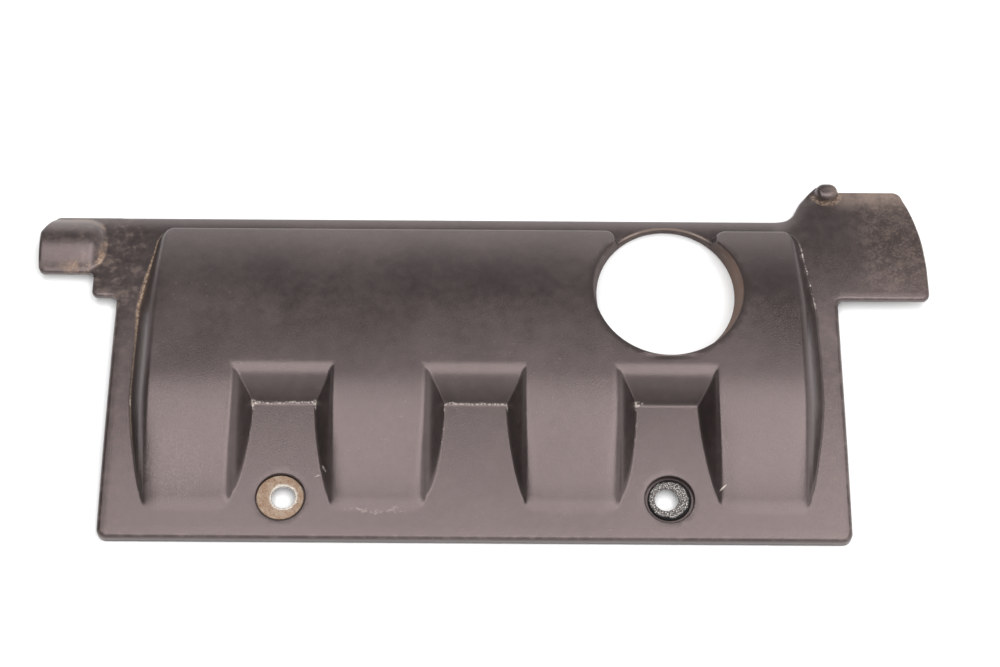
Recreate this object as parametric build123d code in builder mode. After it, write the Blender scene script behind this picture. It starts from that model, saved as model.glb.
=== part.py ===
"""Engine cover: a thin black moulding with a vaulted middle, three pockets, an ear and a hood.

Millimetres, +X right, +Y to the back, +Z up. The origin lies midway between the two fixing
seats, level with the upper faces of the rings that lie in them.
"""

import os
from math import asin, atan2, cos, degrees, radians, sin, tan

from build123d import *

# Moulded wall, depth of the lip round the body, and depth of the plain edge of ear and hood
wall = 2.5
lip = 5.5
plain_edge = 3.0
edge_chamfer = 1.5

# Crown of the sheet: a shallow arch from front to back
crown_radius = 900.0
crown_y = 64.0
crown_z = 3.2

# Outline of the sheet
body_half_width = 170.0
front_y = -19.5
back_y = 147.0
step_y = 102.0
front_corner = 4.5
outline_corner = 3.0

# Left ear, with a step in its front edge and its back corner cut off
ear_step_x = -182.0
ear_end_x = -208.5
ear_front_y = 115.0
ear_cut_x = 8.0
ear_cut_y = 11.0

# Round-ended hump along the ear
hump_y = 129.5
hump_half_width = 14.0
hump_height = 6.0
hump_end_x = -191.5

# Vault: three tangent arcs from the front foot over the top to the ridge at the back
top_y = 56.0
top_z = 16.9
front_radius = 114.0
foot_blend = 14.0
foot_strip_y = -14.0
middle_radius = 590.0
middle_end_y = 92.0
back_radius = 145.0
ridge_y = 138.0
vault_half_width = 151.4
wall_angle = 54.7
shoulder = 3.0

# Pockets between the lobes of the vault
pocket_count = 3
pocket_pitch = 88.0
pocket_width = 48.0
pocket_back_y = 60.1
pocket_back_angle = 43.4

# Oil filler opening: a drafted collar whose axis leans forward
filler_x = 89.5
filler_y = 104.6
filler_z = 11.0
filler_radius = 34.6
filler_lean = 16.0
filler_draft = 6.0
filler_reach = 30.0
collar_bottom_z = -5.8
collar_foot = 4.0

# Right hood: a gentle arch that rolls over to the back
hood_left_x = 140.0
hood_end_x = 213.5
hood_front_y = 102.0
hood_top_y = 120.0
hood_rise = 0.9
hood_radius = 190.0
hood_roll_y = 155.0
hood_roll_radius = 16.0
hood_roll_angle = 80.0
hood_side_y = 120.0
hood_side_radius = 109.0
hood_side_angle = 30.0
hood_flank_x = 162.3
hood_flank_y = 165.0
hood_flank_angle = 55.4

# Knob on the hood's back left corner
knob_x = 169.0
knob_y = 161.5
knob_radius = 6.0
knob_top_z = 3.5
knob_round = 4.5

# Fixing seats, and the rings that lie in them with their bores a little off centre
seat_pitch = 176.0
seat_diameter = 22.0
seat_hole = 17.4
seat_floor = 2.5
boss_diameter = 27.0
boss_top_z = -0.6
ring_thickness = 1.2
ring_clearance = 0.3
ring_bore = 10.8
bore_offset = 1.4
ring_edge = 0.25
rubber_gap = 0.8


def crown_level(y):
    """Height of the crowned sheet at a place between front and back."""
    return crown_z - crown_radius + (crown_radius**2 - (y - crown_y) ** 2) ** 0.5


# Plane on which the front lip ends, and what fits inside the lips
rim_z = crown_level(front_y) - lip
void_depth = 2 * lip
vault_depth = top_z - rim_z + lip
seat_z = -ring_thickness
boss_bottom_z = seat_z - seat_floor
ring_radius = seat_diameter / 2 - ring_clearance

# Blocks for cutting, well clear of the part on every side
reach = 2 * (hood_end_x - ear_end_x)
floor_z = rim_z - vault_depth
centred_below = (Align.CENTER, Align.CENTER, Align.MAX)
centred_above = (Align.CENTER, Align.CENTER, Align.MIN)


def crown_band(drop, depth):
    """Block between two levels parallel to the crown."""
    with BuildPart() as band:
        with BuildSketch(Plane.YZ):
            with Locations((crown_y, crown_z - crown_radius)):
                Circle(crown_radius - drop)
                Circle(crown_radius - depth, mode=Mode.SUBTRACT)
            with Locations((crown_y, crown_z)):
                Rectangle(reach, reach, mode=Mode.INTERSECT)
        extrude(amount=reach, both=True)
    return band.part


def outline(inset):
    """Upright block over the outline of body and ear, drawn in by the inset."""
    with BuildPart() as block:
        with BuildSketch(Plane.XY.offset(floor_z)):
            with BuildLine():
                FilletPolyline(
                    (-body_half_width, front_y),
                    (body_half_width, front_y),
                    (body_half_width, back_y),
                    (ear_end_x + ear_cut_x, back_y),
                    (ear_end_x, back_y - ear_cut_y),
                    (ear_end_x, ear_front_y),
                    (ear_step_x, ear_front_y),
                    (ear_step_x, step_y),
                    (-body_half_width, step_y),
                    radius=(front_corner, front_corner) + (outline_corner,) * 7,
                    close=True,
                )
            make_face()
            offset(amount=-inset)
        extrude(amount=reach)
    return block.part


def sheet(inset, depth):
    """Crowned sheet of body and ear, down to a depth below the crown."""
    with BuildPart() as form:
        add(outline(inset))
        add(crown_band(inset, depth), mode=Mode.INTERSECT)
    return form.part


def eased_sheet():
    """Outside of the sheet, with its upper edge taken off all the way along."""
    with BuildPart() as form:
        add(sheet(0, lip))
        crowned = form.faces().filter_by(GeomType.CYLINDER).sort_by(SortBy.AREA)[-2:]
        chamfer(crowned.sort_by(Axis.Z)[-1].outer_wire().edges(), edge_chamfer)
    return form.part


def bearing(direction):
    """Angle of a direction in a sketch, in degrees from its first axis."""
    return degrees(atan2(direction.Y, direction.X))


def vault_section(x, inset):
    """Section of the vault, from a strip of the sheet in front of it to the ridge at its back."""
    crown_centre = Vector(crown_y, crown_z - crown_radius)
    front_centre = Vector(top_y, top_z - front_radius)
    middle_centre = Vector(top_y, top_z - middle_radius)
    middle_turn = degrees(asin((middle_end_y - top_y) / middle_radius))
    middle_lean = Vector(sin(radians(middle_turn)), cos(radians(middle_turn)))
    back_centre = middle_centre + middle_lean * (middle_radius - back_radius)
    ridge_turn = degrees(asin((ridge_y - inset - back_centre.X) / (back_radius - inset)))
    # The hollow blend at the foot touches the crown and the front arc from outside
    upward = front_centre - crown_centre
    to_crown = crown_radius + foot_blend
    to_front = front_radius + foot_blend
    along = (to_crown**2 - to_front**2 + upward.length**2) / (2 * upward.length)
    across = (to_crown**2 - along**2) ** 0.5
    upward = upward.normalized()
    blend_centre = crown_centre + upward * along + upward.rotate(Axis.Z, 90) * across
    front_bearing = bearing(blend_centre - front_centre)
    crown_bearing = bearing(blend_centre - crown_centre)
    strip_bearing = 90 + degrees(asin((crown_y - foot_strip_y) / crown_radius))
    with BuildSketch(Plane.YZ.offset(x)) as section:
        with BuildLine():
            CenterArc(front_centre, front_radius - inset, 90, front_bearing - 90)
            CenterArc(middle_centre, middle_radius - inset, 90, -middle_turn)
            back = CenterArc(
                back_centre, back_radius - inset, 90 - middle_turn, middle_turn - ridge_turn
            )
            CenterArc(
                blend_centre, foot_blend + inset, front_bearing - 180, crown_bearing - front_bearing
            )
            strip = CenterArc(
                crown_centre, crown_radius - inset, crown_bearing, strip_bearing - crown_bearing
            )
            Polyline(back @ 1, ((back @ 1).X, floor_z), ((strip @ 1).X, floor_z), strip @ 1)
        make_face()
    return section.sketch


def lobe(left_x, right_x, inset):
    """One lobe: the section carried straight across, then down a slanting wall at each side."""
    draw_in = inset * tan(radians(wall_angle / 2))
    wall_length = vault_depth / sin(radians(wall_angle))
    sides = ((left_x + draw_in, -1), (right_x - draw_in, 1))
    with BuildPart() as form:
        extrude(vault_section(left_x + draw_in, inset), amount=right_x - left_x - 2 * draw_in)
        for x, side in sides:
            slant = (side * cos(radians(wall_angle)), 0, -sin(radians(wall_angle)))
            extrude(vault_section(x, inset), amount=wall_length, dir=slant)
        if inset == 0:
            upper = form.edges().filter_by(GeomType.CIRCLE).filter_by(Plane.YZ)
            fillet(upper.filter_by_position(Axis.X, left_x, right_x), shoulder)
    return form.part


def pocket_back(inset):
    """Part of the vault behind the pockets, with its slanting front wall."""
    lean = tan(radians(pocket_back_angle))
    corner_y = pocket_back_y + inset * tan(radians(pocket_back_angle / 2))
    corner_z = top_z - inset
    half_length = pocket_pitch * pocket_count / 2
    with BuildPart() as form:
        with BuildSketch(Plane.YZ.offset(-half_length)) as section:
            add(Plane.YZ.to_local_coords(vault_section(0, inset)))
            with BuildLine():
                Polyline(
                    (corner_y + wall, corner_z + wall * lean),
                    (corner_y - (corner_z - floor_z) / lean, floor_z),
                    (-reach, floor_z),
                    (-reach, corner_z + wall * lean),
                    close=True,
                )
            make_face(mode=Mode.SUBTRACT)
            if inset == 0:
                fillet(section.vertices().sort_by_distance((corner_y, corner_z))[0], shoulder)
        extrude(amount=2 * half_length)
    return form.part


def vault(inset):
    """The whole vault: its lobes, and what joins them behind the pockets."""
    first_pocket_x = (1 - pocket_count) * pocket_pitch / 2
    outer_edge_x = first_pocket_x - pocket_width / 2
    with BuildPart() as form:
        add(pocket_back(inset))
        add(lobe(-vault_half_width, outer_edge_x, inset))
        add(lobe(-outer_edge_x, vault_half_width, inset))
        for number in range(1, pocket_count):
            left_x = outer_edge_x + number * pocket_pitch - (pocket_pitch - pocket_width)
            add(lobe(left_x, left_x + pocket_pitch - pocket_width, inset))
        add(crown_band(-reach, lip), mode=Mode.INTERSECT)
    return form.part


def hump(inset, depth):
    """Half-round hump on the ear, closed by a round end."""
    radius = (hump_half_width**2 + hump_height**2) / (2 * hump_height)
    axis_z = crown_level(hump_y) + hump_height - radius
    with BuildPart() as form:
        with BuildSketch(Plane.YZ.offset(ear_end_x)):
            with Locations((hump_y, axis_z)):
                Circle(radius - inset)
        extrude(amount=hump_end_x - ear_end_x)
        with Locations((hump_end_x, hump_y, axis_z)):
            Sphere(radius - inset, rotation=(0, 90, 0))
        add(outline(inset), mode=Mode.INTERSECT)
        add(crown_band(-reach, depth), mode=Mode.INTERSECT)
    return form.part


def hood_section(front, drop, depth):
    """Band under the hood's roof, between two levels parallel to it."""
    roof_z = crown_level(hood_front_y) + hood_rise
    start = degrees(asin((hood_top_y - front) / hood_radius))
    roll = degrees(asin((hood_roll_y - hood_top_y) / hood_radius))
    centre = Vector(hood_top_y, roof_z - hood_radius)
    roll_lean = Vector(sin(radians(roll)), cos(radians(roll)))
    roll_centre = centre + roll_lean * (hood_radius - hood_roll_radius)
    with BuildSketch(Plane.YZ.offset(hood_left_x)) as section:
        with BuildLine():
            upper = CenterArc(centre, hood_radius - drop, 90 + start, -start - roll)
            lower = CenterArc(centre, hood_radius - depth, 90 + start, -start - roll)
            upper_roll = CenterArc(
                roll_centre, hood_roll_radius - drop, 90 - roll, roll - hood_roll_angle
            )
            lower_roll = CenterArc(
                roll_centre, hood_roll_radius - depth, 90 - roll, roll - hood_roll_angle
            )
            Line(upper @ 0, lower @ 0)
            Line(upper_roll @ 1, lower_roll @ 1)
        make_face()
    return section.sketch


def hood(inset, depth):
    """Hood from the vault, cut off aslant behind it, to its curved right end."""
    front = hood_front_y + inset
    flank_run = 1 / tan(radians(hood_flank_angle))
    flank_x = hood_flank_x + inset / sin(radians(hood_flank_angle))
    with BuildPart() as form:
        extrude(hood_section(front, inset, depth), amount=hood_end_x - hood_left_x)
        with BuildSketch(Plane.XY.offset(rim_z)):
            with BuildLine():
                side_centre = (hood_end_x - hood_side_radius, hood_side_y)
                side = CenterArc(side_centre, hood_side_radius - inset, 0, hood_side_angle)
                back = (side @ 1).Y
                Polyline(
                    side @ 1,
                    (flank_x + (back - hood_flank_y) * flank_run, back),
                    (flank_x + (front - hood_flank_y) * flank_run, front),
                    (hood_end_x - inset, front),
                    side @ 0,
                )
            make_face()
        extrude(amount=reach, mode=Mode.INTERSECT)
    return form.part


def filler_cone(growth):
    """Drafted plug through the filler opening, or with growth the outside of its collar."""
    lean = radians(filler_lean)
    spread = filler_reach * tan(radians(filler_draft))
    upright = Plane(
        (filler_x, filler_y, filler_z), x_dir=(1, 0, 0), z_dir=(0, -sin(lean), cos(lean))
    )
    with BuildPart(upright) as plug:
        Cone(
            filler_radius - spread + growth,
            filler_radius + spread + growth,
            2 * filler_reach,
        )
    return plug.part


# Round-topped knob, down to the plane of the rim
with BuildPart() as knob:
    with Locations((knob_x, knob_y, knob_top_z)):
        Cylinder(knob_radius, knob_top_z - rim_z, align=centred_below)
    fillet(knob.faces().sort_by(Axis.Z)[-1].edges(), knob_round)

# Outside of the cover: everything that the skin is drawn over
with BuildPart() as outside:
    add(eased_sheet())
    add(vault(0))
    add(hump(0, wall / 2))
    add(hood(0, plain_edge))
    add(knob.part)

# Wall that runs down round the filler opening, inside the outer form and then below it
with BuildPart() as collar:
    add(outside.part)
    with Locations((filler_x, filler_y, collar_bottom_z)):
        Box(3 * filler_radius, 3 * filler_radius, collar_foot, align=centred_above)
        Box(reach, reach, reach, align=centred_above, mode=Mode.INTERSECT)
    add(filler_cone(wall), mode=Mode.INTERSECT)

# Space below the ear, whose edge has no lip
with BuildPart() as ear_underside:
    add(crown_band(plain_edge, void_depth))
    with Locations((-body_half_width - reach / 2, ear_front_y, 0)):
        Box(reach, reach, reach, mode=Mode.INTERSECT)

# The moulding: outside less inside, with collar, seat bosses and openings
with BuildPart() as engine_cover:
    add(outside.part)
    add(sheet(wall, void_depth), mode=Mode.SUBTRACT)
    add(vault(wall), mode=Mode.SUBTRACT)
    add(hump(wall, void_depth), mode=Mode.SUBTRACT)
    add(hood(wall, void_depth), mode=Mode.SUBTRACT)
    add(ear_underside.part, mode=Mode.SUBTRACT)
    add(collar.part)
    add(filler_cone(0), mode=Mode.SUBTRACT)
    for seat_x in (-seat_pitch / 2, seat_pitch / 2):
        with Locations((seat_x, 0, boss_top_z)):
            Cylinder(boss_diameter / 2, boss_top_z - boss_bottom_z, align=centred_below)
        with Locations((seat_x, 0, seat_z)):
            Cylinder(seat_diameter / 2, lip, align=centred_above, mode=Mode.SUBTRACT)
            Cylinder(seat_hole / 2, lip, align=centred_below, mode=Mode.SUBTRACT)

# Rusty flat steel ring in the left seat
with BuildPart() as steel_fixing_ring:
    with BuildSketch(Plane.XY.offset(seat_z)):
        with Locations((-seat_pitch / 2, 0)):
            Circle(ring_radius)
        with Locations((bore_offset - seat_pitch / 2, 0)):
            Circle(ring_bore / 2, mode=Mode.SUBTRACT)
    extrude(amount=ring_thickness)
    chamfer(steel_fixing_ring.faces().sort_by(Axis.Z)[-1].edges(), ring_edge)

# Rubber ring in the right seat, smaller than the steel one
with BuildPart() as rubber_fixing_ring:
    with BuildSketch(Plane.XY.offset(seat_z)):
        with Locations((seat_pitch / 2, 0)):
            Circle(ring_radius - rubber_gap)
        with Locations((seat_pitch / 2 - bore_offset, 0)):
            Circle(ring_bore / 2, mode=Mode.SUBTRACT)
    extrude(amount=ring_thickness)
    chamfer(rubber_fixing_ring.faces().sort_by(Axis.Z)[-1].edges(), ring_edge)

engine_cover.part.label = "engine_cover"
steel_fixing_ring.part.label = "steel_fixing_ring"
rubber_fixing_ring.part.label = "rubber_fixing_ring"

os.makedirs("parts", exist_ok=True)
export_step(engine_cover.part, "parts/engine_cover.step")
export_step(steel_fixing_ring.part, "parts/steel_fixing_ring.step")
export_step(rubber_fixing_ring.part, "parts/rubber_fixing_ring.step")
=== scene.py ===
"""Looks of a used engine cover: a black moulded shell with two rings in its seats."""

from math import cos, pi, radians, sin, tan

import bpy
import numpy as np
from mathutils import Matrix, Vector
from mathutils.geometry import delaunay_2d_cdt


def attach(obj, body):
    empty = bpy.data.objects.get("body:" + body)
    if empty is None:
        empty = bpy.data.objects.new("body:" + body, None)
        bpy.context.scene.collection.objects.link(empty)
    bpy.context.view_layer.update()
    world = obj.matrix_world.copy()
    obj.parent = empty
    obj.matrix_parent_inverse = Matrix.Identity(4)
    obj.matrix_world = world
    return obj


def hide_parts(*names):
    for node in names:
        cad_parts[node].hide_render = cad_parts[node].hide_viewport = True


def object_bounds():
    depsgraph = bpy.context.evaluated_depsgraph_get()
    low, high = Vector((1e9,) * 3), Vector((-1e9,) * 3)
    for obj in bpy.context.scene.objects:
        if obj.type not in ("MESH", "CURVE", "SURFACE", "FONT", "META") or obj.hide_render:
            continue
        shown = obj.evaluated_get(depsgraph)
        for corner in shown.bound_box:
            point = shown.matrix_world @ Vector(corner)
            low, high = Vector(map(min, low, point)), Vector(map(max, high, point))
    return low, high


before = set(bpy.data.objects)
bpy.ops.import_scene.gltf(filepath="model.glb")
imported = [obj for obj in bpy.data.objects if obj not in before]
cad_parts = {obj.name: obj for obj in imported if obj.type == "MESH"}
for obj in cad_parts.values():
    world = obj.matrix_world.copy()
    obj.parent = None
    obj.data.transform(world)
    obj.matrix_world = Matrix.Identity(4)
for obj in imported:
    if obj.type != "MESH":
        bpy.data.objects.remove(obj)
cad_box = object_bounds()


# The cover is one injection moulding in black grained plastic, an even shell over a crowned
# sheet, a vault with four lobes, a humped ear and a rolled hood. All of its skin is one form,
# reckoned here in millimetres: drawn at no inset it is the outside, at the wall the inside.
wall = 2.5
lip = 5.5
plain_edge = 3.0
rim_z = -6.2
vault_top = 16.9
vault_top_y = 56.0
pocket_pitch = 88.0
pocket_half = 22.2
outer_lobe_x = 140.0
ridge_y = 138.0
ridge_round = 5.0
hump_y = 129.5
hump_radius = 19.333
hump_end = 14.0
flank_turn = radians(55.4)
knob_x, knob_y = 168.7, 162.6
knob_round = 2.4
knob_flat = 1.9
filler_place = np.array((89.5, 104.6, 11.0))
filler_radius = 34.6
filler_lean = radians(16.0)
filler_draft = tan(radians(6.0))
collar_bottom = -5.8
seat_x = 88.0
seat_radius = 11.0
seat_floor = -1.2
seat_hole = 8.7
boss_radius = 13.5
boss_foot = -3.7
far_below = -60.0


def arch(y, centre_y, top, radius, inset):
    """Height of an arch that runs across, seen along the cover, with its top at centre_y."""
    return top - radius + np.sqrt(np.clip((radius - inset) ** 2 - (y - centre_y) ** 2, 0, None))


def over(a, b, blend):
    """The higher of two surfaces, with a hollow blend where they meet."""
    return np.maximum(a, b) + np.clip(blend - np.abs(a - b), 0, None) ** 2 / (4 * blend)


def turn_down(t, half):
    """Zero before a bend, then the distance past it, rounded over a length at each side."""
    return np.where(t > half, t, np.clip(t + half, 0, None) ** 2 / (4 * half))


def crown(y, inset=0.0):
    """Height of the crowned sheet."""
    return arch(y, 64.0, 3.2, 900.0, inset)


def vault(x, y, inset):
    """Lobes and pocket backs of the vault, and how far their sides have dropped."""
    at_outer_wall = np.abs(x) > outer_lobe_x
    draw_in = inset * tan(radians(54.7 / 2))
    corner = 4.0 * (1 - np.sqrt(1 - np.clip((y - 131.0) / 7.0, 0, 1) ** 2))
    to_back = np.clip(y - 80.0, 0, None)
    half = np.where(x < 0, 151.0, 151.8) - to_back**2 / 2600.0 - corner
    pocket_x = pocket_pitch * np.clip(np.round(x / pocket_pitch), -1, 1)
    past_side = np.abs(x) - half + draw_in
    past_pocket = pocket_half + draw_in - np.abs(x - pocket_x)
    faces_right = (x < pocket_x) & (np.abs(x) < outer_lobe_x)
    # The lobes' front corners are rounded off in the plan
    near_edge = np.clip(1 + np.maximum(past_side, past_pocket) / 9.0, 0, 1)
    set_back = 3.5 * (1 - np.sqrt(1 - near_edge**2)) * np.clip((50.0 - y) / 30.0, 0, 1)
    front = arch(y - set_back, vault_top_y, vault_top, 119.0, inset)
    middle = arch(y, vault_top_y, vault_top, 590.0, inset)
    back = arch(y, 83.15, 16.071, 145.0, inset)
    profile = np.where(y < vault_top_y, front, np.where(y < 92.0, middle, back))
    # The ridge stops, with rounded ends, at each side of the filler opening
    past_ridge = y - ridge_y + inset + ridge_round
    past_end = np.minimum(24.0 - np.abs(x - 89.3), y - 124.0) + inset + ridge_round
    past = np.hypot(np.clip(past_ridge, 0, None), np.clip(past_end, 0, None)) - ridge_round
    profile = profile - 6.0 * turn_down(past, 0.9)
    # Shoulders are softer on the outer walls and on the pockets' walls that face right
    rounding = 1.0 if inset else np.where(faces_right | at_outer_wall, 2.4, 1.3)
    drop = turn_down(past_side, rounding) + turn_down(past_pocket, rounding)
    # The outer walls stand steeper towards both of their ends
    to_end = 0.5 * np.clip((45.0 - y) / 40.0, 0, 1) + 0.8 * np.clip((y - 95.0) / 30.0, 0, 1)
    straight = profile - (1.35 + to_end * at_outer_wall) * drop - 0.045 * drop**2
    soft_drop = turn_down(past_pocket + 2.0, 2.4)
    soft = profile - 0.1 * soft_drop - 0.13 * soft_drop**2
    lobes = np.where(faces_right & (inset == 0), soft, straight)
    fall = turn_down(60.1 + inset * tan(radians(21.7)) - y, 1.3)
    back_wall = profile - 0.1 * fall - 0.0581 * fall**2
    back_wall = np.where(np.abs(x) < 132.0, back_wall, far_below)
    blend = 0.01 + np.clip(profile - np.maximum(lobes, back_wall), 0, 0.7)
    return over(lobes, back_wall, blend), drop


def hump(x, y, inset):
    """Half-round hump along the ear, with a round end."""
    axis_z = crown(hump_y) + 6.0 - hump_radius
    end = hump_end * (np.clip(x + 191.5, 0, None) / hump_end) ** 1.8
    rise = (hump_radius - inset) ** 2 - (y - hump_y) ** 2 - end**2
    return np.where(rise > 0, axis_z + np.sqrt(np.clip(rise, 0, None)), far_below)


def hood(x, y, inset):
    """Roof of the hood, rolled over at the back and falling away softly along its flank."""
    roof = np.where(
        y < 155.0, arch(y, 104.0, 3.44, 295.0, inset), arch(y, 151.72, -0.68, 19.0, inset)
    )
    flank = (x - 162.3 - (y - 165.0) / tan(flank_turn)) * sin(flank_turn)
    return roof - 0.7 * turn_down(1.0 + inset - flank, 5.0)


def from_knob(x, y):
    """Distance in the plan from the short middle line of the knob."""
    return np.hypot(np.clip(np.abs(x - knob_x) - 1.0, 0, None), y - knob_y)


def knob(x, y):
    """Blunt round-topped knob on the hood's back corner."""
    r = from_knob(x, y)
    edge = np.clip(r - knob_flat, 0, knob_round)
    steep_side = 5.0 * np.clip(r - (knob_flat + knob_round), 0, None)
    return 0.3 + np.sqrt(knob_round**2 - edge**2) - steep_side


def skin(x, y, inset=0.0):
    """Height of the skin over a place in the plan."""
    lobes, drop = vault(x, y, inset)
    # The sheet falls away to its back edge, but not under the hood
    back_fall = 0.02 * np.clip(y - 137.0, 0, 11.0) ** 2 * np.clip((160.0 - x) / 12.0, 0, 1)
    z = over(crown(y, inset) - back_fall, lobes, 0.9 + 0.9 * np.exp(-drop / 1.5))
    z = over(z, hump(x, y, inset), 0.9)
    z = over(z, hood(x, y, inset), 2.2)
    return z if inset else over(z, knob(x, y), 0.7)


def rounded(corners):
    """Closed loop through corners (x, y, radius), as points and their outward directions."""
    points, outward = [], []
    place = np.array([c[:2] for c in corners], float)
    for i, (_, _, radius) in enumerate(corners):
        before = place[i - 1] - place[i]
        after = place[(i + 1) % len(corners)] - place[i]
        before /= np.hypot(*before)
        after /= np.hypot(*after)
        side = np.sign(before[1] * after[0] - before[0] * after[1])
        half = np.arccos(np.clip(before @ after, -1, 1)) / 2
        centre = place[i] + (before + after) / np.hypot(*(before + after)) * radius / np.sin(half)
        first = place[i] + before * radius / np.tan(half) - centre
        last = place[i] + after * radius / np.tan(half) - centre
        start = np.arctan2(first[1], first[0])
        turn = (np.arctan2(last[1], last[0]) - start + pi) % (2 * pi) - pi
        for t in np.linspace(0, 1, max(5, int(radius * abs(turn) / 0.5) + 1)):
            direction = np.array((cos(start + turn * t), sin(start + turn * t)))
            points.append(centre + direction * radius)
            outward.append(direction * side)
    # Straight runs get points of their own, a little over a millimetre apart
    dense, ways = [], []
    for i in range(len(points)):
        here, there = points[i], points[(i + 1) % len(points)]
        parts = max(1, int(np.hypot(*(there - here)) / 1.3))
        for k in range(parts):
            t = k / parts
            way = outward[i] * (1 - t) + outward[(i + 1) % len(points)] * t
            dense.append(here * (1 - t) + there * t)
            ways.append(way / np.hypot(*way))
    return np.array(dense), np.array(ways)


def hood_side(y):
    """How far out the hood's curved outer end is."""
    return 104.5 + (109.0**2 - (y - 120.0) ** 2) ** 0.5


edge_points, edge_ways = rounded(
    [(-170.0, -19.5, 4.5), (170.0, -19.5, 4.5), (170.0, 102.0, 3.0), (213.5, 102.0, 3.5)]
    + [(hood_side(y), y, 90.0) for y in (120.0, 135.0, 150.0)]
    + [(hood_side(164.2), 164.2, 5.0), (174.4, 164.2, 1.0), (173.6, 167.4, 3.0)]
    + [(164.3, 167.4, 3.0), (155.6, 158.2, 14.0), (150.6, 148.1, 6.0)]
    + [(-203.0, 148.1, 3.0), (-208.5, 134.5, 3.0), (-208.5, 115.0, 3.0), (-182.0, 115.0, 3.0)]
    + [(-182.0, 102.0, 3.0), (-170.0, 102.0, 3.0)]
)
edge_x, edge_y = edge_points.T
on_hood = np.maximum(np.clip((edge_x - 170.0) / 2, 0, 1), np.clip((edge_y - 147.0) / 2, 0, 1))
on_ear = np.clip((-170.0 - edge_x) / 2, 0, 1)
rolled = np.clip((edge_y - 160.0) / 3, 0, 1)
edge_ease = 2.0 - 0.7 * np.maximum(on_hood, on_ear) - 1.0 * rolled
edge_depth = lip - (lip - plain_edge) * np.maximum(on_hood, on_ear)

verts, faces = [], []


def loop(points):
    """Adds a closed loop of points and gives their numbers."""
    first = len(verts)
    verts.extend(np.asarray(points, float).tolist())
    return np.arange(first, len(verts))


def join(loops):
    """Runs a band of faces from each loop to the next."""
    for a, b in zip(loops, loops[1:]):
        n = len(a)
        faces.extend((a[i], a[(i + 1) % n], b[(i + 1) % n], b[i]) for i in range(n))


# Round the outline the skin turns over a soft edge, goes down to the lip's foot and up inside
edge_loops = []
for angle in (0, 18, 36, 54, 72, 90):
    inward = edge_ease * (1 - sin(radians(angle)))
    p = edge_points - edge_ways * inward[:, None]
    z = skin(p[:, 0], p[:, 1]) - edge_ease * (1 - cos(radians(angle)))
    edge_loops.append(loop(np.c_[p, z]))
outer_z = np.array([verts[i][2] for i in edge_loops[-1]])
foot_z = np.maximum(skin(edge_x, edge_y) - edge_depth, rim_z)
foot_z = np.minimum(foot_z, outer_z - 0.3)
inner_points = edge_points - edge_ways * wall
inner_z = np.maximum(skin(inner_points[:, 0], inner_points[:, 1], wall), foot_z + 0.45)
foot_ease = 0.25
for inward, z in (
    (0.0, foot_z + foot_ease), (foot_ease, foot_z), (wall - foot_ease, foot_z),
    (wall, foot_z + foot_ease), (wall, inner_z),
):
    edge_loops.append(loop(np.c_[edge_points - edge_ways * inward, z]))
join(edge_loops)

# Each fixing seat is a recess with a hole in its floor, in a boss below the sheet
angles = np.linspace(0, 2 * pi, 96, endpoint=False)
seat_loops = []
for x in (-seat_x, seat_x):
    rings = []
    for radius, level in (
        (seat_radius + 0.7, 0.0), (seat_radius + 0.3, -0.1), (seat_radius + 0.05, -0.4),
        (seat_radius, -0.8), (seat_radius, "floor"), (seat_hole, "floor"),
        (seat_hole, "foot"), (boss_radius, "foot"), (boss_radius, "inside"),
    ):
        p = np.c_[x + radius * np.cos(angles), radius * np.sin(angles)]
        if level == "inside":
            z = skin(p[:, 0], p[:, 1], wall)
        elif level == "floor":
            z = np.full(len(p), seat_floor)
        elif level == "foot":
            z = np.full(len(p), boss_foot)
        else:
            z = skin(p[:, 0], p[:, 1]) + level
        rings.append(loop(np.c_[p, z]))
    join(rings)
    seat_loops.append(rings)

# The filler collar is a drafted wall on a leaning axis, from the outer skin down to its foot
around = np.linspace(0, 2 * pi, 300, endpoint=False)
axis = np.array((0, -sin(filler_lean), cos(filler_lean)))
across = np.array((0, cos(filler_lean), sin(filler_lean)))


def collar_points(height, growth):
    """Points on the collar's cone, at heights along its axis."""
    radius = filler_radius + growth + height * filler_draft
    level = filler_place + np.outer(height, axis)
    return level + np.c_[radius * np.cos(around), np.outer(radius * np.sin(around), across)[:, 1:]]


def collar_at(growth, surface):
    """Where the collar's cone meets a surface over the plan."""
    low, high = np.full(len(around), -28.0), np.full(len(around), 16.0)
    for _ in range(40):
        middle = (low + high) / 2
        p = collar_points(middle, growth)
        under = p[:, 2] < surface(p[:, 0], p[:, 1])
        low, high = np.where(under, middle, low), np.where(under, high, middle)
    return collar_points(middle, growth)


collar_loops = [
    loop(collar_at(0.8, skin)),
    loop(collar_at(0.3, lambda x, y: skin(x, y) - 0.1)),
    loop(collar_at(0.05, lambda x, y: skin(x, y) - 0.4)),
    loop(collar_at(0.0, lambda x, y: skin(x, y) - 0.9)),
    loop(collar_at(0.0, lambda x, y: 0 * x + collar_bottom + 0.3)),
    loop(collar_at(0.3, lambda x, y: 0 * x + collar_bottom)),
    loop(collar_at(wall - 0.3, lambda x, y: 0 * x + collar_bottom)),
    loop(collar_at(wall, lambda x, y: 0 * x + collar_bottom + 0.3)),
    loop(collar_at(wall, lambda x, y: skin(x, y, wall))),
]
# Behind the opening the collar's outer side is kept clear of the back edge's inner side
collar_back_y = 144.0
for number in np.concatenate(collar_loops[-3:]):
    verts[number][1] = min(verts[number][1], collar_back_y)
join(collar_loops)


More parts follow.
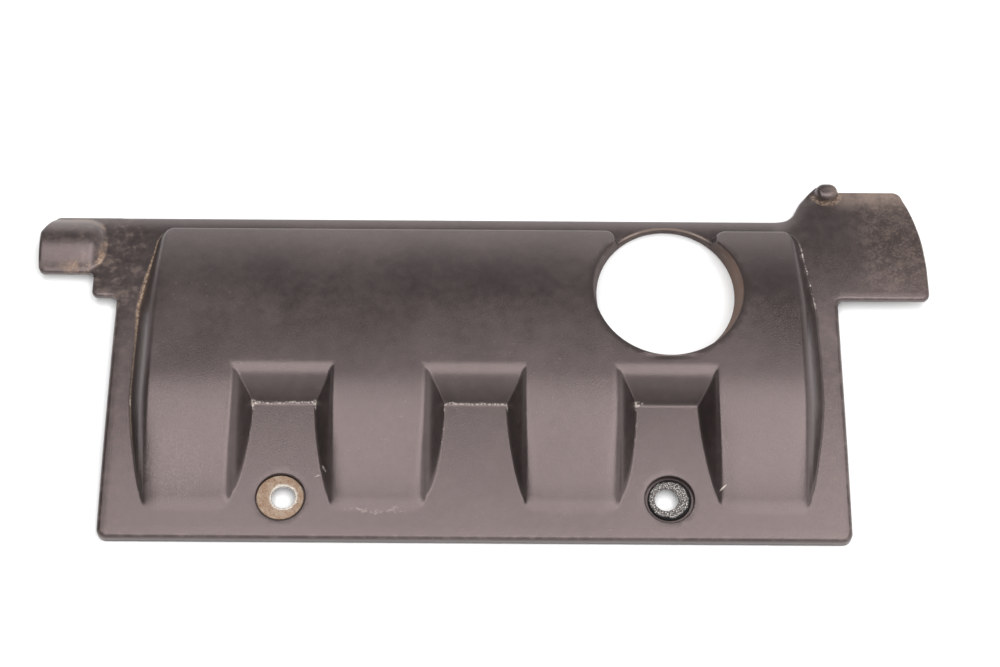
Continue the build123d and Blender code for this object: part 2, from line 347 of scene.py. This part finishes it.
def clearance(points, ring):
    """Distance of points from a closed loop, positive inside it."""
    nearest = np.full(len(points), 1e9)
    inside = np.zeros(len(points), bool)
    for a, b in zip(ring, np.roll(ring, -1, axis=0)):
        run = b - a
        t = np.clip(((points - a) @ run) / (run @ run), 0, 1)
        gap = points - a - t[:, None] * run
        nearest = np.minimum(nearest, (gap**2).sum(1))
        if a[1] != b[1]:
            crosses = (a[1] > points[:, 1]) != (b[1] > points[:, 1])
            inside ^= crosses & (points[:, 0] < a[0] + (points[:, 1] - a[1]) / run[1] * run[0])
    return np.sqrt(nearest) * np.where(inside, 1, -1)


finer = 4


def grid_lines(low, high, fine):
    """Places a fine step apart, a whole number of coarse steps from the first to the last."""
    lines = np.arange(low, high, fine)
    return lines[: (len(lines) - 1) // finer * finer + 1]


def fill(surface, rim, holes, coarse, tolerance):
    """Lays the skin between a rim and its holes, with fine facets only where it bends."""
    fine = coarse / finer
    x, y = np.meshgrid(grid_lines(-210.0, 216.0, fine), grid_lines(-21.0, 171.0, fine))
    z = surface(x, y)
    bend = np.zeros_like(z)
    bend[:, 1:-1] += np.abs(z[:, 2:] - 2 * z[:, 1:-1] + z[:, :-2])
    bend[1:-1] += np.abs(z[2:] - 2 * z[1:-1] + z[:-2])
    bent = bend > tolerance
    near = bent.copy()
    for shift in (-2, -1, 1, 2):
        near |= np.roll(bent, shift, 0) | np.roll(bent, shift, 1)
    i, j = np.indices(z.shape)
    keep = near | ((i % finer == 0) & (j % finer == 0))
    points = np.c_[x[keep], y[keep]]
    step = np.where(near[keep], fine, coarse)
    place = np.array(verts)
    good = clearance(points, place[rim][:, :2]) > 0.6 * step
    for hole in holes:
        good &= clearance(points, place[hole][:, :2]) < -0.6 * step
    points = points[good]
    new = loop(np.c_[points, surface(points[:, 0], points[:, 1])])
    numbers = np.concatenate([rim, *holes, new])
    edges, start = [], 0
    for ring in (rim, *holes):
        n = len(ring)
        edges.extend((start + k, start + (k + 1) % n) for k in range(n))
        start += n
    flat = [Vector(verts[k][:2]) for k in numbers]
    corners, _, facets, from_numbers, _, _ = delaunay_2d_cdt(flat, edges, [], 1, 1e-6)
    source = [numbers[o[0]] for o in from_numbers]
    middles = np.array([[sum(corners[k][a] for k in f) / 3 for a in (0, 1)] for f in facets])
    solid = np.ones(len(middles), bool)
    for hole in holes:
        solid &= clearance(middles, place[hole][:, :2]) < 0
    faces.extend(tuple(source[k] for k in f) for f, s in zip(facets, solid) if s)


fill(skin, edge_loops[0], [seat_loops[0][0], seat_loops[1][0], collar_loops[0]], 2.4, 0.012)
outside_points = len(verts)
fill(
    lambda x, y: skin(x, y, wall), edge_loops[-1],
    [seat_loops[0][-1], seat_loops[1][-1], collar_loops[-1]], 2.8, 0.05,
)


def mesh_piece(name, points, polygons, sharp):
    """A new piece from points in millimetres, shaded smooth but for its sharp edges."""
    mesh = bpy.data.meshes.new(name)
    in_metres = [[0.001 * a for a in p] for p in points]
    mesh.from_pydata(in_metres, [], [list(map(int, f)) for f in polygons])
    piece = bpy.data.objects.new(name, mesh)
    bpy.context.scene.collection.objects.link(piece)
    bpy.context.view_layer.objects.active = piece
    bpy.ops.object.mode_set(mode="EDIT")
    bpy.ops.mesh.select_all(action="SELECT")
    bpy.ops.mesh.normals_make_consistent(inside=False)
    bpy.ops.object.mode_set(mode="OBJECT")
    mesh.polygons.foreach_set("use_smooth", [True] * len(mesh.polygons))
    mesh.set_sharp_from_angle(angle=radians(sharp))
    return piece


moulding = mesh_piece("moulding", verts, faces, 50)


def on_loops(loops):
    """Which of the points belong to some loops."""
    return np.isin(np.arange(len(verts)), np.concatenate(loops))


# Where dirt has gathered, and where shade is painted on the collar's rim, goes with the mesh: how
# far each point lies up from the foot of the vault, the hump and the knob, and whether it is on
# the collar, on the collar's rim, on the worn outer edge, and on the outside at all
x, y = np.array(verts)[:, :2].T
inside = np.arange(len(verts)) >= outside_points
for loops in (edge_loops, collar_loops, *seat_loops):
    inside[np.concatenate(loops[-2:])] = True
for name, values in (
    ("vault_foot", (vault(x, y, 0)[0] - crown(y)) / 1.45),
    ("hump_foot", hump(x, y, 0) - crown(y)),
    ("knob_foot", 4.6 - from_knob(x, y)),
    ("collar", on_loops(collar_loops[2:6])),
    ("collar_rim", on_loops(collar_loops[:3])),
    ("outer_edge", on_loops(edge_loops[1:4])),
    ("outside", ~inside),
):
    layer = moulding.data.attributes.new(name, "FLOAT", "POINT")
    layer.data.foreach_set("value", np.clip(values, -12.0, 12.0).astype(np.float32))
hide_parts("engine_cover")
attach(moulding, "root")


class Socket:
    """A shader socket that sums can be written with; each sum adds its Math nodes."""

    def __init__(self, tree, link=None):
        self.tree, self.link = tree, link

    def node(self, kind, settings=None, sockets=None, out=0):
        """A new node, with its settings and then its sockets set, as one of its outputs."""
        made = self.tree.nodes.new(kind)
        for name, value in (settings or {}).items():
            setattr(made, name, value)
        for name, value in (sockets or {}).items():
            if isinstance(value, Socket):
                self.tree.links.new(value.link, made.inputs[name])
            else:
                made.inputs[name].default_value = value
        return Socket(self.tree, made.outputs[out])

    def feeds(self, shader, name):
        """Links this socket to one of a shader's inputs."""
        self.tree.links.new(self.link, shader.inputs[name])

    def sum(self, operation, a, b=0.0):
        return self.node("ShaderNodeMath", {"operation": operation}, {0: a, 1: b})

    def __add__(self, other):
        return self.sum("ADD", self, other)

    def __sub__(self, other):
        return self.sum("SUBTRACT", self, other)

    def __rsub__(self, other):
        return self.sum("SUBTRACT", other, self)

    def __mul__(self, other):
        return self.sum("MULTIPLY", self, other)

    def __pow__(self, other):
        return self.sum("POWER", self, other)

    __radd__, __rmul__ = __add__, __mul__

    def along_axes(self, coordinate):
        """The three numbers of a texture coordinate."""
        where = self.node("ShaderNodeTexCoord", out=coordinate)
        return [self.node("ShaderNodeSeparateXYZ", {}, {0: where}, out=i) for i in range(3)]

    def noise(self, scale, detail=2.0, rough=0.5):
        where = self.node("ShaderNodeTexCoord", out="Object")
        return self.node(
            "ShaderNodeTexNoise", {},
            {"Vector": where, "Scale": scale, "Detail": detail, "Roughness": rough},
        )

    def between(self, low, high):
        """0 at low, 1 at high, and smooth from one to the other."""
        return self.node(
            "ShaderNodeMapRange", {"interpolation_type": "SMOOTHSTEP"},
            {"Value": self, "From Min": low, "From Max": high},
        )

    def paint(self, amount, under, over):
        """One colour over another."""
        return self.node(
            "ShaderNodeMix", {"data_type": "RGBA"},
            {"Factor": amount, 6: under, 7: over}, out=2,
        )

    def raised(self, strength, distance):
        """The normal of a surface that this socket raises."""
        return self.node(
            "ShaderNodeBump", {}, {"Strength": strength, "Distance": distance, "Height": self}
        )


def finish_of(name, **uniform):
    """A new material: its tree, and its shader with the values that are the same all over."""
    material = bpy.data.materials.new(name)
    material.use_nodes = True
    shader = material.node_tree.nodes["Principled BSDF"]
    for socket, value in uniform.items():
        shader.inputs[socket.replace("_", " ")].default_value = value
    return material, Socket(material.node_tree), shader


plastic, s, shader = finish_of(
    "grained_plastic", Specular_IOR_Level=1.0, Specular_Tint=(1.0, 0.8, 0.79, 1)
)
x, y, z = (a * 1000.0 for a in s.along_axes("Object"))


def gathered(name):
    """A value that goes with the mesh."""
    return s.node("ShaderNodeAttribute", {"attribute_name": name}, out=2)


def patch(across, along, half_across, half_along, turn=0.0):
    """1 at a place in the plan, falling to 0 at an oval round it."""
    c, d = cos(radians(turn)), sin(radians(turn))
    u = ((x - across) * c + (y - along) * d) * (1 / half_across)
    v = ((y - along) * c - (x - across) * d) * (1 / half_along)
    return (u * u + v * v).between(1.0, 0.15)


def strip(value, low, high, soft):
    """1 while a value is between two limits, with soft ends."""
    return value.between(low - soft, low + soft) * value.between(high + soft, high - soft)


def from_centre(centre_x):
    """Distance in the plan from a place in the row of the fixings."""
    return ((x - centre_x) ** 2 + y * y) ** 0.5


cloud = s.noise(19.0, 3.0, 0.6)
mottle = s.noise(210.0, 4.0, 0.62)
crumb = s.noise(850.0, 3.0, 0.7)
grain = s.noise(2300.0, 1.0)
foot, hump_foot, knob_foot = (gathered(n) for n in ("vault_foot", "hump_foot", "knob_foot"))
outside = gathered("outside")

# A thin film of dust lies all over, cloudy, with a few pale specks
film = (0.65 * cloud + 0.35 * mottle).between(0.36, 0.68)
colour = s.paint(film, (0.0155, 0.012, 0.0116, 1), (0.036, 0.029, 0.028, 1))
specks = crumb.between(0.64, 0.74) * (0.08 + 0.22 * cloud.between(0.5, 0.62))
# On the front of the outer left lobe, pale specks are painted highlights on the grain.
lobe_grain_highlight = patch(-138.0, 12.0, 20.0, 20.0) * crumb.between(0.42, 0.65) * 0.09
colour = s.paint((specks + lobe_grain_highlight) * outside, colour, (0.36, 0.31, 0.29, 1))

# Tan dust is mottled over the hood's outer end and roll, the ear with the back of its hump,
# and the sheet at both sides of the vault
hood_dust = 0.25 + 0.75 * (0.4 * mottle + 0.6 * crumb).between(0.45, 0.58)
hood_dust = hood_dust * x.between(174.0, 194.0) * y.between(97.0, 112.0)
roll_dust = x.between(166.0, 176.0) * y.between(150.0, 163.0) * mottle.between(0.1, 0.6)
ear_dust = patch(-172.0, 120.0, 24.0, 30.0) * mottle.between(0.53, 0.66)
side_dust = x.between(-154.0, -164.0) + x.between(154.0, 164.0) * y.between(104.0, 94.0)
side_dust = side_dust * mottle.between(0.4, 0.7)
hump_dust = x.between(-184.0, -190.0) * y.between(137.0, 145.0) * mottle.between(0.2, 0.65)
dust = 0.14 * hood_dust + 0.27 * roll_dust + 0.09 * ear_dust + 0.06 * side_dust
dust = (dust + 0.16 * hump_dust) * outside
colour = s.paint(dust, colour, (0.40, 0.29, 0.225, 1))

# Tan dirt lies along the foot of the vault's left wall, widest halfway, and round the feet of
# the hump and of the knob
width = 1.1 + 2.2 * strip(y, 88.0, 118.0, 14.0)
left_line = foot.between(-1.2 * width, -0.2 * width) * foot.between(0.8, 0.1)
more_to_back = 0.4 * y.between(10.0, 50.0) + 0.4 * y.between(60.0, 100.0)
left_line = left_line * x.between(-138.0, -142.0) * more_to_back
left_line = left_line * (0.35 + 0.65 * crumb.between(0.4, 0.58))
hump_line = strip(hump_foot, -1.4, 2.2, 1.5) * mottle.between(0.34, 0.62)
hump_line = hump_line * x.between(-202.0, -186.0) * (0.35 + 0.45 * y.between(130.0, 118.0))
knob_line = strip(knob_foot, -2.2, 0.0, 0.8) * (1 - y.between(161.0, 164.0))
knob_line = knob_line * crumb.between(0.38, 0.56)
dirt = (left_line + hump_line + 0.4 * knob_line) * outside
tans = s.paint(crumb.between(0.42, 0.6), (0.26, 0.15, 0.09, 1), (0.42, 0.31, 0.21, 1))
colour = s.paint(dirt, colour, tans)

# Pale crumbs stick along the vault's right foot and at the feet of the pockets' back walls
right_line = strip(foot, -0.7, 0.5, 0.3) * x.between(140.0, 146.0) * strip(y, 97.0, 131.0, 4.0)
ragged_foot = foot + (mottle - 0.5) * 2.0
pocket_line = strip(ragged_foot, -0.4, 0.4, 0.3) * strip(y, 42.5, 48.5, 1.0)
pocket_line = pocket_line * x.between(62.0, 20.0)
corner_line = patch(74.5, 45.5, 3.0, 3.5)
corner_line = corner_line + patch(-74.5, 45.5, 2.5, 2.5) + patch(-102.0, 45.5, 2.5, 2.5)
corner_line = 0.7 * corner_line * foot.between(-1.2, -0.2) * foot.between(1.6, 0.6)
crumbs = 0.9 * right_line * crumb.between(0.42, 0.6) * mottle.between(0.4, 0.55)
crumbs = crumbs + 0.65 * pocket_line * crumb.between(0.42, 0.56)
crumbs = crumbs + corner_line * crumb.between(0.45, 0.57)

# Knocks have left pale scuffs at the front of the lobes, and a few small marks
wander = y + (mottle - 0.5) * 9.0
front_scuff = strip(wander, -7.1, -5.6, 0.5) * strip(x, -58.0, -32.0, 2.0)
front_scuff = front_scuff * crumb.between(0.46, 0.58)
wall_scuff = patch(-68.4, 12.6, 2.6, 0.55, -62.0) + patch(-71.4, 10.0, 1.8, 0.5, 15.0)
scratch = patch(112.0, 4.2, 2.3, 0.45, 38.0)
pale = crumbs + 0.22 * front_scuff + 0.6 * wall_scuff * crumb.between(0.42, 0.54) + 0.8 * scratch
pale = pale * outside
colour = s.paint(pale, colour, (0.55, 0.49, 0.44, 1))

# The seat round the rubber ring is darkened with painted shade of the gap there, and with oily
# grime; dark grime lies in a spot at the vault's back and on its right wall
seat_gap_shade = from_centre(seat_x).between(11.9, 11.3) * z.between(-6.0, -5.0)
wall_stain = 0.45 * patch(144.7, 115.1, 6.5, 4.5) * mottle.between(0.35, 0.6)
dark = 0.9 * seat_gap_shade + patch(-109.5, 134.6, 1.1, 1.2) + wall_stain
colour = s.paint(dark * outside, colour, (0.011, 0.009, 0.009, 1))

# Oily dirt has browned the collar's wall, most on its right. The collar's rounded rim is
# painted dark as painted shade, paler at the back, and the outer edge is worn a little paler too
browned = gathered("collar") * (0.75 + 0.25 * mottle.between(0.3, 0.6))
to_right = x.between(80.0, 122.0) * y.between(138.0, 112.0)
brown = s.paint(to_right, (0.030, 0.020, 0.016, 1), (0.13, 0.075, 0.047, 1))
colour = s.paint(browned, colour, brown)
rim = s.paint(y.between(133.0, 137.5), (0.009, 0.007, 0.006, 1), (0.17, 0.13, 0.105, 1))
colour = s.paint(gathered("collar_rim") * 0.85, colour, rim)
edge_wear = gathered("outer_edge") * mottle.between(0.45, 0.7) * 0.10
colour = s.paint(edge_wear, colour, (0.36, 0.30, 0.27, 1))

matt = dust + dirt + pale + browned
rough = 0.205 + 0.13 * cloud + 0.08 * mottle + 0.06 * crumb - 0.04 * grain
rough = rough + 0.4 * matt + 0.25 * browned
relief = grain + 0.8 * crumb + 1.2 * (dirt + pale) * crumb
colour.feeds(shader, "Base Color")
rough.feeds(shader, "Roughness")
relief.raised(0.4, 0.00012).feeds(shader, "Normal")
moulding.data.materials.append(plastic)


# The flat steel ring lies loose in the left seat. It is a stamped washer, rusted all over and
# worn bright round its bore.
bore_x = -86.6
steel, s, shader = finish_of("rusty_steel", Specular_IOR_Level=0.5)
x, y, _ = (a * 1000.0 for a in s.along_axes("Object"))
bloom = s.noise(330.0, 4.0, 0.65)
pits = s.noise(1150.0, 3.0, 0.7)
worn = (from_centre(bore_x) + (bloom - 0.5) * 4.0).between(6.9, 5.9)
worn = worn * (0.35 + 0.65 * pits.between(0.35, 0.55))
colour = s.paint(bloom.between(0.38, 0.62), (0.25, 0.165, 0.11, 1), (0.325, 0.245, 0.185, 1))
colour = s.paint(pits.between(0.52, 0.64) * 0.85, colour, (0.155, 0.062, 0.028, 1))
colour = s.paint(pits.between(0.4, 0.3), colour, (0.06, 0.035, 0.022, 1))
colour = s.paint(worn * 0.85, colour, (0.62, 0.585, 0.54, 1))
colour.feeds(shader, "Base Color")
(worn * 0.8).feeds(shader, "Metallic")
(0.85 - 0.45 * worn + 0.12 * (pits - 0.5)).feeds(shader, "Roughness")
(bloom + pits).raised(0.7, 0.00025).feeds(shader, "Normal")
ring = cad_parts["steel_fixing_ring"]
ring.data.materials.clear()
ring.data.materials.append(steel)


# The rubber ring in the right seat is a black washer, rough, torn and wet with oil. The glints
# of its wet grit are painted highlights, pale specks in its colour; its smooth outer edge is
# left near black and matt, black rubber that also stands for painted shade of the gap round it.
washer_x = 87.7
rubber, s, shader = finish_of("worn_rubber", Specular_IOR_Level=0.2)
x, y, _ = (a * 1000.0 for a in s.along_axes("Object"))
torn = s.noise(1500.0, 3.0, 0.75)
lumps = s.noise(420.0, 3.0, 0.6)
gritty = (from_centre(washer_x) + (lumps - 0.5) * 2.0).between(9.1, 8.5)
# Pale specks over the grit are painted highlights, the glints of wet grit.
painted_glint = gritty * torn.between(0.52, 0.58)
worn_grey = gritty * lumps.between(0.3, 0.6)
# Outside the grit the washer stays near black: black rubber, and painted shade of the gap round
# it.
colour = s.paint(worn_grey, (0.005, 0.004, 0.004, 1), (0.034, 0.027, 0.024, 1))
colour = s.paint(painted_glint * 0.9, colour, (0.55, 0.50, 0.47, 1))
colour.feeds(shader, "Base Color")
(0.75 - 0.45 * gritty).feeds(shader, "Roughness")
(gritty * 0.3).feeds(shader, "Coat Weight")
((lumps + torn) * gritty).raised(0.9, 0.0005).feeds(shader, "Normal")
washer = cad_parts["rubber_fixing_ring"]
washer.data.materials.clear()
washer.data.materials.append(rubber)


# The cover lies on a plain white floor under two long soft lamps, hung high to its left and
# right and a little to the front, in a pale room that is brightest low down behind.
bpy.ops.mesh.primitive_plane_add(size=6.0, location=(0, -2.1, cad_box[0][2] - 0.0003))
floor = bpy.context.object
floor.name = "floor"
white, s, shader = finish_of("white_floor", Roughness=0.9, Specular_IOR_Level=0.1)
shader.inputs["Base Color"].default_value = (0.95, 0.95, 0.95, 1)
floor.data.materials.append(white)

lamp_height = 2.0
for across, along, width, length, power in (
    (-0.39, -0.29, 0.56, 2.38, 23.6), (0.605, -0.23, 0.87, 2.50, 34.2)
):
    lamp_data = bpy.data.lights.new("soft_lamp", "AREA")
    lamp_data.shape = "RECTANGLE"
    lamp_data.size, lamp_data.size_y = width, length
    lamp_data.energy = power
    lamp = bpy.data.objects.new("soft_lamp", lamp_data)
    bpy.context.scene.collection.objects.link(lamp)
    lamp.location = (across, along, lamp_height)

world = bpy.data.worlds.new("pale_room")
bpy.context.scene.world = world
world.use_nodes = True
s = Socket(world.node_tree)
beside, behind, above = s.along_axes("Generated")
low = 1 - above.between(0.15, 0.75)
off_middle = s.sum("ABSOLUTE", beside).between(0.1, 0.45)
straight_back = behind.between(-0.1, 0.8) * (1 - 0.65 * off_middle)
room = 0.12 + low * (0.15 + straight_back * 1.8)
room = room + beside.between(0.2, 0.8) * behind.between(0.65, 0.2)
room = room + behind.between(-0.25, -0.8) * above.between(0.05, 0.3) * 0.95
room = s.node("ShaderNodeCombineColor", {}, {0: room, 1: room, 2: room})
room.feeds(world.node_tree.nodes["Background"], "Color")

# The camera stands in front and well above, as the photographer did
view = bpy.data.cameras.new("camera")
view.lens = 82.71
view.sensor_width = 36.0
camera = bpy.data.objects.new("camera", view)
bpy.context.scene.collection.objects.link(camera)
height, roll = radians(62.2), radians(0.37)
right, up = Vector((1, 0, 0)), Vector((0, sin(height), cos(height)))
right, up = right * cos(roll) + up * sin(roll), up * cos(roll) - right * sin(roll)
turned = Matrix((right, up, right.cross(up))).transposed().to_4x4()
camera.matrix_world = Matrix.Translation((0.0109, -0.4181, 0.9529)) @ turned
bpy.context.scene.camera = camera
bpy.context.scene.view_settings.view_transform = "Standard"
